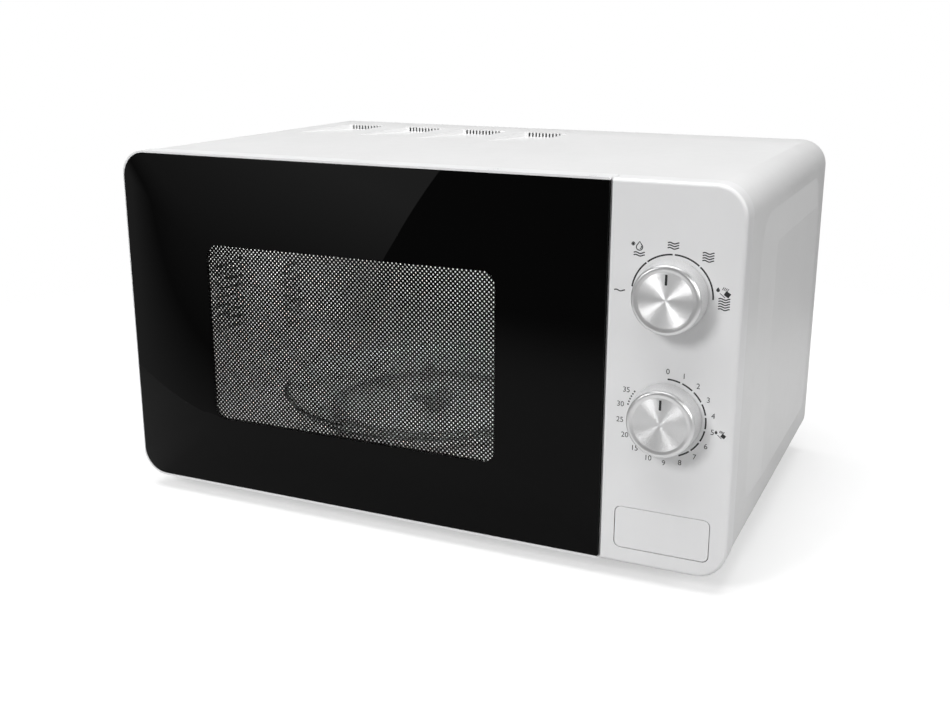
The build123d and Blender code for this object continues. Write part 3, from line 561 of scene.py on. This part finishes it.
def makeGlass(size):
    # an opaque black ring with its outer edge eased, and the clear window inside it
    low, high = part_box("door_glass")
    deep = (0, high.y - low.y, 0)
    square = size["squareCorner"]
    bm = bmesh.new()
    rim = edgeLoop(bm, upright((low.x, high.x), (low.z, high.z), low.y),
                   [size["borderRadius"], square, square, size["borderRadius"]], 12)
    inner = edgeLoop(bm, upright(size["windowX"], size["windowZ"], low.y), [size["windowRadius"]] * 4, 12)
    bmesh.ops.bridge_loops(bm, edges=rim + inner)
    thickened(bm, bm.faces[:], deep)
    softened(bm, [edge for edge in rim if edge.is_valid], size["glassEdge"], 2)
    finishPiece("glassBorder", bm, "door", "print", ["door_glass"])
    bm = bmesh.new()
    pane = roundedFace(bm, upright(size["windowX"], size["windowZ"], low.y), [size["windowRadius"]] * 4, 12)
    thickened(bm, [pane], deep)
    finishPiece("glassWindow", bm, "door", "black_glass")


# how much of the screen's depth its sheet fills
screenShare = 0.8


def screenCell(bm, size):
    # one diamond of the lattice with its round hole; every other point of the rim is drawn in
    # until it lies on a straight side
    reach = size["cell"] / 2
    turn = Matrix.Rotation(math.pi / 2, 4, "X")
    rim = bmesh.ops.create_circle(bm, segments=8, radius=reach, matrix=turn)["verts"]
    for vert in rim:
        if abs(vert.co.x) > 0.1 * mm and abs(vert.co.z) > 0.1 * mm:
            vert.co *= math.sqrt(0.5)
    bmesh.ops.create_circle(bm, segments=8, radius=size["hole"], matrix=turn)
    bmesh.ops.bridge_loops(bm, edges=bm.edges[:])


def copied(bm, offset):
    made = bmesh.ops.duplicate(bm, geom=bm.verts[:] + bm.edges[:] + bm.faces[:])["geom"]
    verts = [item for item in made if isinstance(item, bmesh.types.BMVert)]
    bmesh.ops.translate(bm, verts=verts, vec=offset)


def repeated(bm, count, offset):
    # doubles what is there until it is at least count copies long
    done = 1
    while done < count:
        copied(bm, Vector(offset) * done)
        done *= 2


def makeScreen(size):
    # two halves full of holes, and a plain margin round them
    low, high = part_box("window_screen")
    x = (size["windowX"][0] - size["screenMargin"], size["windowX"][1] + size["screenMargin"])
    z = (size["windowZ"][0] - size["screenMargin"], size["windowZ"][1] + size["screenMargin"])
    thickness = (high.y - low.y) * screenShare
    middle = x[0] + size["cell"] * round((x[1] - x[0]) / 2 / size["cell"])
    tile = bmesh.new()
    screenCell(tile, size)
    copied(tile, (size["cell"] / 2, 0, size["cell"] / 2))
    repeated(tile, (x[1] - middle) / size["cell"] + 4, (size["cell"], 0, 0))
    repeated(tile, (z[1] - z[0]) / size["cell"] + 2, (0, 0, size["cell"]))
    for name, (x0, x1) in {"screenLeft": (x[0], middle), "screenRight": (middle, x[1])}.items():
        bm = tile.copy()
        bmesh.ops.translate(bm, verts=bm.verts, vec=(x0 - size["cell"], low.y, z[0] - size["cell"]))
        bmesh.ops.remove_doubles(bm, verts=bm.verts, dist=1e-6)
        for point, normal in (((x0, 0, 0), (-1, 0, 0)), ((x1, 0, 0), (1, 0, 0)),
                              ((0, 0, z[0]), (0, 0, -1)), ((0, 0, z[1]), (0, 0, 1))):
            bmesh.ops.bisect_plane(bm, geom=bm.verts[:] + bm.edges[:] + bm.faces[:], dist=1e-7,
                                   plane_co=point, plane_no=normal, clear_outer=True)
        bmesh.ops.solidify(bm, geom=bm.faces[:], thickness=-thickness)
        stands = ["window_screen"] if name == "screenLeft" else ()
        finishPiece(name, bm, "door", "screen_metal", stands)
    tile.free()
    bm = bmesh.new()
    loops = edgeLoop(bm, upright((low.x, high.x), (low.z, high.z), low.y), [size["marginCorner"]] * 4, 8)
    loops += edgeLoop(bm, upright(x, z, low.y), [size["holedCorner"]] * 4, 8)
    bmesh.ops.bridge_loops(bm, edges=loops)
    thickened(bm, bm.faces[:], (0, thickness, 0))
    finishPiece("screenMargin", bm, "door", "screen_metal")


makeGlass(doorSize)
makeScreen(doorSize)
print("door made")


knobSize = metres({
    "skirt": 22.4,
    "skirtFront": 21.2,
    "rim": 18.7,
    "face": 17.1,
    "groovePitch": 0.42,
    "grooveDepth": 0.09,
    "pointerWidth": 1.45,
    "pointerFrom": 9.2,
    "pointerTo": 15.6,
    "pointerThick": 0.3,
    "bore": 3.2,
    "backEdge": 0.5,
    "capDepth": 2.2,
    "capRoll": 2.1,
    "capLip": 1.4,
    "dishDepth": 0.5,
    "step": 0.1,
})


def spun(bm, points, centre, steps):
    # turns a profile of (radius, y) points right round the Y axis through centre
    verts = [bm.verts.new((centre.x + radius, y, centre.z)) for radius, y in points]
    edges = [bm.edges.new(pair) for pair in zip(verts, verts[1:])]
    bmesh.ops.spin(bm, geom=verts + edges, cent=centre, axis=(0, 1, 0), angle=math.tau, steps=steps,
                   use_merge=True)
    bmesh.ops.remove_doubles(bm, verts=bm.verts, dist=1e-7)


def arc(centre, radius, start, end, steps):
    # points on a circle in the (radius, y) plane; angles in degrees from +radius towards -y
    angles = [math.radians(start + (end - start) * step / steps) for step in range(steps + 1)]
    return [(centre[0] + radius * math.cos(a), centre[1] - radius * math.sin(a)) for a in angles]


def makeKnob(prefix, body, size):
    # offsets of the profiles are counted in small steps
    low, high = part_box(prefix + "_knob")
    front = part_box(prefix + "_knob_face")[0].y
    centre = Vector(((low.x + high.x) / 2, 0, (low.z + high.z) / 2))
    back, bore, edge, step = high.y, size["bore"], size["backEdge"], size["step"]
    shoulder = front + size["capDepth"]
    seat = shoulder + 10 * step
    bm = bmesh.new()
    skirt = [(bore, back), (size["skirt"] - edge, back)]
    skirt += arc((size["skirt"] - edge, back - edge), edge, -90, 0, 4)
    skirt += [(size["skirtFront"] + step / 2, shoulder + step),
              (size["skirtFront"] - 5 * step, shoulder + step),
              (size["skirtFront"] - 12 * step, seat), (bore, seat)]
    spun(bm, skirt, centre, 96)
    finishPiece(prefix + "KnobSkirt", bm, body, "knob_moulding", [prefix + "_knob"], 40)
    # the cap: a rolled rim round a shallow dish of turned grooves
    bm = bmesh.new()
    roll = size["capRoll"]
    floor = front + size["dishDepth"]
    cap = [(0, seat - step), (size["skirtFront"] - size["capLip"], seat - step),
           (size["skirtFront"] - step / 2, shoulder)]
    cap += arc((size["skirtFront"] - roll, front + roll), roll, 8, 90, 8)
    cap += [(size["rim"], front + step / 5), (size["face"] + 5 * step, front + 3.2 * step),
            (size["face"], floor)]
    dish = size["face"] - 2 * step
    halves = int(dish / size["groovePitch"]) * 2
    cap += [(dish * half / halves, floor + size["grooveDepth"] * (half % 2))
            for half in range(halves, 0, -1)]
    cap.append((0, floor))
    spun(bm, cap, centre, 96)
    finishPiece(prefix + "KnobCap", bm, body, "knob_metal", [prefix + "_knob_face"], 20)
    bm = bmesh.new()
    halfWidth = size["pointerWidth"] / 2
    corners = upright((centre.x - halfWidth, centre.x + halfWidth),
                      (centre.z + size["pointerFrom"], centre.z + size["pointerTo"]), floor - 0.8 * step)
    face = roundedFace(bm, corners, [3 * step] * 4, 4)
    thickened(bm, [face], (0, size["pointerThick"], 0))
    finishPiece(prefix + "KnobPointer", bm, body, "ink")


makeKnob("power", "power_knob", knobSize)
makeKnob("timer", "timer_knob", knobSize)
print("knobs made")


springTable = {
    "buttonCoil": {"node": "button_spring", "body": "chassis", "joint": "button_press", "axis": (0, 1, 0),
                   "radius": 3.2, "wire": 0.35, "pitch": 2.0, "turns": 5, "keep": 0.55},
    "latchCoil": {"node": "latch_spring", "body": "door", "joint": "latch_lift", "axis": (0, 0, 1),
                  "radius": 2.2, "wire": 0.3, "pitch": 1.9, "turns": 4, "keep": 0.58},
}


def makeSpring(name, node, body, joint, axis, radius, wire, pitch, turns, keep):
    # wire of a round section wound along an axis
    low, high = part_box(node)
    axis = Vector(axis)
    middle = (low + high) / 2
    start = middle - axis * (pitch * turns * mm / 2)
    steps = 20
    bm = bmesh.new()
    ring = bmesh.ops.create_circle(bm, segments=8, radius=wire * mm, cap_ends=False)
    if axis.z:
        upended = Matrix.Rotation(math.pi / 2, 3, "X")
        bmesh.ops.rotate(bm, verts=ring["verts"], cent=(0, 0, 0), matrix=upended)
    bmesh.ops.translate(bm, verts=ring["verts"], vec=start + Vector((radius * mm, 0, 0)))
    bmesh.ops.spin(bm, geom=bm.verts[:] + bm.edges[:], cent=start, axis=axis,
                   dvec=axis * (pitch * mm / steps), angle=math.tau * turns, steps=steps * turns,
                   use_duplicate=False)
    ends = [edge for edge in bm.edges if edge.is_boundary]
    bmesh.ops.holes_fill(bm, edges=ends, sides=8)
    piece = finishPiece(name, bm, body, "spring_steel", [node], 60)
    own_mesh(piece)


for name, row in springTable.items():
    makeSpring(name, **row)
print("springs made")


printSize = metres({
    "thickness": 0.05,
    "scaleRadius": 24.9,
    "scaleLine": 1.15,
    "numberRadius": 29.6,
    "numberHeight": 3.5,
    "waveLength": 6.9,
    "waveHeight": 0.42,
    "waveLine": 0.82,
    "wavePitch": 1.55,
    "cup": 3.4,
    "fineLine": 0.5,
    "starReach": 1.3,
    "starLine": 0.55,
    "drop": (3.9, 4.6),
    "dropLine": 0.7,
    "glintRadius": 1.2,
    "glintLine": 0.6,
    "numberThick": 0.02,
})
# places from the middle of the knob, across and up, in millimetres; the waves by their count
wavePlaces = {1: (-32.4, 0.4), 2: (-21.0, 23.6), 3: (-0.4, 30.2), 4: (20.7, 25.0), 5: (31.5, -2.2)}
markPlaces = {"star": (-24.9, 29.7), "drop": (-21.0, 28.4), "glint": (-21.0, 28.0),
              "powerCup": (33.1, 3.9), "timerCup": (35.9, -6.6)}
# angles clockwise from the top, in degrees
powerArcs = [(-82, -41), (-39, -1.5), (1.5, 39), (41, 90)]
timerAngles = {"number": 20, "gap": 1.6, "tickFrom": 282, "tickPitch": 4.4, "tick": 2.2}
# a font's size for digits of height 1
fontSize = 1.38


def printedMesh(name, curves):
    # curves turned into one thin layer just in front of the panel, nine tenths of it proud
    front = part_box("control_panel")[0].y
    bm = bmesh.new()
    for data in curves:
        maker = bpy.data.objects.new("maker", data)
        bpy.context.scene.collection.objects.link(maker)
        bpy.context.view_layer.update()
        mesh = bpy.data.meshes.new_from_object(maker.evaluated_get(bpy.context.evaluated_depsgraph_get()))
        bm.from_mesh(mesh)
        bpy.data.objects.remove(maker)
    depths = [vert.co.y for vert in bm.verts]
    scale = printSize["thickness"] / (max(depths) - min(depths))
    for vert in bm.verts:
        vert.co.y = front - printSize["thickness"] * 0.9 + (vert.co.y - min(depths)) * scale
    return finishPiece(name, bm, "chassis", "ink")


def stroke(points, width, closed=False):
    # a round line through (x, z) points, flattened later
    curve = bpy.data.curves.new("stroke", "CURVE")
    curve.dimensions = "3D"
    curve.bevel_depth = width / 2
    curve.bevel_resolution = 1
    curve.use_fill_caps = True
    spline = curve.splines.new("POLY")
    spline.points.add(len(points) - 1)
    for point, (x, z) in zip(spline.points, points):
        point.co = (x, 0, z, 1)
    spline.use_cyclic_u = closed
    return curve


def dialPoints(centre, radius, start, end, steps):
    # clockwise from the top, in degrees
    angles = [math.radians(start + (end - start) * step / steps) for step in range(steps + 1)]
    return [(centre[0] + radius * math.sin(a), centre[1] + radius * math.cos(a)) for a in angles]


def waveMarks(centre, count, size):
    # as many wavy lines, one above another
    curves = []
    for number in range(count):
        z = centre[1] + (number - (count - 1) / 2) * size["wavePitch"]
        points = []
        for step in range(13):
            part = step / 12
            rise = size["waveHeight"] * math.sin(math.tau * (part * 1.25 + 0.02))
            points.append((centre[0] + (part - 0.5) * size["waveLength"], z + rise))
        curves.append(stroke(points, size["waveLine"]))
    return curves


def dropPoints(centre, width, height):
    # a round foot drawn up to a point
    points = [(centre[0], centre[1] + height * 0.62)]
    for step in range(13):
        angle = math.radians(-50 + 280 * step / 12)
        points.append((centre[0] + width / 2 * math.cos(angle + math.pi) * -1,
                       centre[1] - height * 0.12 - width / 2 * math.sin(angle)))
    return points


def filledDrop(centre, width, height):
    # nested outlines close the drop
    return [stroke(dropPoints(centre, width * part, height * part), width * 0.3, True)
            for part in (0.75, 0.35)]


def starMark(centre, size):
    curves = []
    reach = size["starReach"]
    for spoke in range(4):
        angle = math.pi * spoke / 4
        dx, dz = reach * math.cos(angle), reach * math.sin(angle)
        ends = [(centre[0] - dx, centre[1] - dz), (centre[0] + dx, centre[1] + dz)]
        curves.append(stroke(ends, size["starLine"]))
    return curves


def pourMark(centre, size, scale):
    # a drop beside a tilted cup with steam lines; centre is the middle of the cup
    def at(x, z):
        return (centre[0] + x * mm * scale, centre[1] + z * mm * scale)

    drop = at(-5.6, 2.4)
    curves = filledDrop(drop, 2.1 * mm * scale, 2.8 * mm * scale)
    curves.append(stroke([at(-1.44, 0.9), at(1.44, -0.9)], size["cup"] * scale))
    for line in range(4):
        foot = (-3.1 + line * 0.95, 2.5 - line * 0.25)
        curves.append(stroke([at(*foot), at(foot[0] + 0.9, foot[1] + 1.7)], size["fineLine"]))
    curves.append(stroke([at(-4.4, 0.4), at(-2.6, -1.0), at(-1.2, -2.2)], size["fineLine"]))
    return curves


def numberMark(text, centre, size):
    data = bpy.data.curves.new("number", "FONT")
    data.body = text
    data.size = size["numberHeight"] * fontSize
    data.align_x = "CENTER"
    data.align_y = "CENTER"
    data.extrude = size["numberThick"]
    maker = bpy.data.objects.new("maker", data)
    bpy.context.scene.collection.objects.link(maker)
    bpy.context.view_layer.update()
    mesh = bpy.data.meshes.new_from_object(maker.evaluated_get(bpy.context.evaluated_depsgraph_get()))
    bpy.data.objects.remove(maker)
    mesh.transform(Matrix.Translation((centre[0], 0, centre[1])) @ Matrix.Rotation(math.pi / 2, 4, "X"))
    return mesh


def knobCentre(node):
    low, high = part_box(node)
    return ((low.x + high.x) / 2, (low.z + high.z) / 2)


def beside(centre, place):
    return (centre[0] + place[0] * mm, centre[1] + place[1] * mm)


def makePrints(size):
    power, timer = knobCentre("power_knob"), knobCentre("timer_knob")
    radius, line = size["scaleRadius"], size["scaleLine"]
    curves = [stroke(dialPoints(power, radius, start, end, 14), line) for start, end in powerArcs]
    for count, place in wavePlaces.items():
        curves += waveMarks(beside(power, place), count, size)
    curves += starMark(beside(power, markPlaces["star"]), size)
    drop = dropPoints(beside(power, markPlaces["drop"]), *size["drop"])
    glint = dialPoints(beside(power, markPlaces["glint"]), size["glintRadius"], 60, 170, 6)
    curves += [stroke(drop, size["dropLine"], True), stroke(glint, size["glintLine"])]
    curves += pourMark(beside(power, markPlaces["powerCup"]), size, 1.0)
    printedMesh("powerScale", curves)
    turn = timerAngles["number"]
    curves = []
    for number in range(8):
        start = turn * number + (timerAngles["gap"] if number else 0)
        points = dialPoints(timer, radius, start, turn * (number + 1) - timerAngles["gap"], 8)
        curves.append(stroke(points, line))
    for tick in range(6):
        angle = timerAngles["tickFrom"] + timerAngles["tickPitch"] * tick
        curves.append(stroke(dialPoints(timer, radius, angle, angle + timerAngles["tick"], 2), line))
    curves += pourMark(beside(timer, markPlaces["timerCup"]), size, 0.8)
    printedMesh("timerScale", curves)
    bm = bmesh.new()
    labels = [str(number) for number in range(10)] + ["10", "15", "20", "25", "30", "35"]
    for number, text in enumerate(labels):
        place = dialPoints(timer, size["numberRadius"], turn * number, turn * number, 1)[0]
        bm.from_mesh(numberMark(text, place, size))
    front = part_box("control_panel")[0].y
    bmesh.ops.translate(bm, verts=bm.verts, vec=(0, front - size["numberThick"], 0))
    finishPiece("timerNumbers", bm, "chassis", "ink")


makePrints(printSize)
print("prints made")


stageLook = {
    "floorTone": (0.52, 0.52, 0.52),
    "floorGlow": 0.52,
    "ambient": 0.19,
    "cavity": 0.88,
    "cavityLamp": 0.22,
    "floorNear": 0.45,
    "floorFar": 0.85,
    "cardY": -0.30,
    "cardGlow": 1.25,
    "lens": 44.2,
    "place": (0.3572, -0.8138, 0.3480),
    "toward": (-0.3979, 0.8761, -0.2721),
    "roll": 0.13,
}


# lamps that hide from some rays: the matt ones leave no reflection, the sheens show only in metal
middle = (0, 0, 0.12)
knobs = (0.18, -0.16, 0.15)
lampTable = {
    "overhead": {"place": (-0.2, -0.2, 2.6), "target": middle, "size": 2.4, "power": 28.0},
    "overheadMatt": {"place": (-0.2, -0.2, 2.6), "target": middle, "size": 2.4, "power": 54.0,
                     "hidden": ("glossy",)},
    "key": {"place": (-1.0, -2.2, 1.6), "target": middle, "size": 0.9, "power": 33.0, "hidden": ("glossy",)},
    "fill": {"place": (2.6, -0.4, 1.1), "target": middle, "size": 1.5, "power": 25.0},
    "sheenRight": {"place": (0.98, -1.5, 0.66), "target": knobs, "size": 0.5, "power": 4.0,
                   "hidden": ("diffuse", "transmission")},
    "sheenLeft": {"place": (-0.9, -1.25, 0.85), "target": knobs, "size": 0.5, "power": 4.0,
                  "hidden": ("diffuse", "transmission")},
}


def makeFloor():
    # wide and pale; it glows only to the camera and fades out away from the middle
    bm = bmesh.new()
    bmesh.ops.create_grid(bm, x_segments=1, y_segments=1, size=30)
    mesh = bpy.data.meshes.new("floor")
    bm.to_mesh(mesh)
    bm.free()
    floor = bpy.data.objects.new("floor", mesh)
    bpy.context.scene.collection.objects.link(floor)
    look = newLook("paleFloor")
    plain = stageLook["floorTone"]
    tone = look.blend(look.noise(0.4, 2), tinted(plain, 0.995), tinted(plain, 1.005))
    seen = look.add("ShaderNodeLightPath", output="Is Camera Ray")
    away = look.add("ShaderNodeVectorMath", {"operation": "LENGTH"}, {0: look.coords()}, output="Value")
    fade = look.add("ShaderNodeMapRange", {"interpolation_type": "SMOOTHSTEP"},
                    {"Value": away, "From Min": stageLook["floorNear"], "From Max": stageLook["floorFar"],
                     "To Min": 1.0, "To Max": 0.0})
    glow = seen * stageLook["floorGlow"]
    shader = look.surface(color=tone, roughness=0.9, specular=0.1, alpha=fade, glow=(1.0, 1.0, 1.0),
                          glowStrength=glow)
    mesh.materials.append(look.close(shader))


cardCorners = [(-0.75, 0.0), (-0.157, 0.0), (-0.045, 0.30), (-0.75, 0.30)]


def makeCard():
    # a pale upright card to the front left, there only to lighten that part of the door glass
    bm = bmesh.new()
    bm.faces.new([bm.verts.new((x, stageLook["cardY"], z)) for x, z in cardCorners])
    mesh = bpy.data.meshes.new("card")
    bm.to_mesh(mesh)
    bm.free()
    card = bpy.data.objects.new("card", mesh)
    bpy.context.scene.collection.objects.link(card)
    look = newLook("cardGlow")
    place = look.coords()
    across = look.add("ShaderNodeSeparateXYZ", None, {"Vector": place}, output="X")
    rise = look.add("ShaderNodeSeparateXYZ", None, {"Vector": place}, output="Z")
    rise = look.ramp((rise * 4.0) * ((across + 0.5) * 2.4), (0.0, 0.42), (0.14, 0.13), (1.0, 0.95))
    shine = look.add("ShaderNodeEmission", None, {"Color": rise, "Strength": stageLook["cardGlow"]})
    mesh.materials.append(look.close(shine))
    card.visible_camera = card.visible_diffuse = card.visible_transmission = card.visible_shadow = False


def areaLight(name, place, target, size, power, hidden=()):
    data = bpy.data.lights.new(name, "AREA")
    data.shape = "DISK"
    data.size = size
    data.energy = power
    light = bpy.data.objects.new(name, data)
    light.location = place
    light.rotation_euler = (Vector(target) - Vector(place)).to_track_quat("-Z", "Y").to_euler()
    for ray in hidden:
        setattr(light, "visible_" + ray, False)
    bpy.context.scene.collection.objects.link(light)
    return light


def makeLights():
    world = bpy.data.worlds.new("studio")
    bpy.context.scene.world = world
    look = Look(world)
    seen = look.add("ShaderNodeLightPath", output="Is Camera Ray")
    strength = seen * (1.0 - stageLook["ambient"]) + stageLook["ambient"]
    white = look.add("ShaderNodeBackground", None, {"Color": (1, 1, 1, 1), "Strength": strength})
    look.close(white, "ShaderNodeOutputWorld")
    for name, row in lampTable.items():
        areaLight(name, **row)
    low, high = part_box("cavity")
    roof = ((low.x + high.x) / 2, (low.y + high.y) / 2, high.z - 6 * mm)
    glow = areaLight("cavityGlow", roof, (roof[0], roof[1], 0), stageLook["cavityLamp"], stageLook["cavity"])
    glow.parent = frame["bodies"]["chassis"]


def makeCamera():
    data = bpy.data.cameras.new("camera")
    data.lens = stageLook["lens"]
    data.sensor_width = 36
    data.clip_start = 0.01
    camera = bpy.data.objects.new("camera", data)
    camera.location = stageLook["place"]
    toward = Vector(stageLook["toward"])
    turn = toward.to_track_quat("-Z", "Y").to_matrix()
    camera.rotation_euler = (turn @ Matrix.Rotation(math.radians(stageLook["roll"]), 3, "Z")).to_euler()
    bpy.context.scene.collection.objects.link(camera)
    bpy.context.scene.camera = camera


makeFloor()
makeCard()
makeLights()
makeCamera()
bpy.context.scene.view_settings.view_transform = "Standard"
print("stage set")
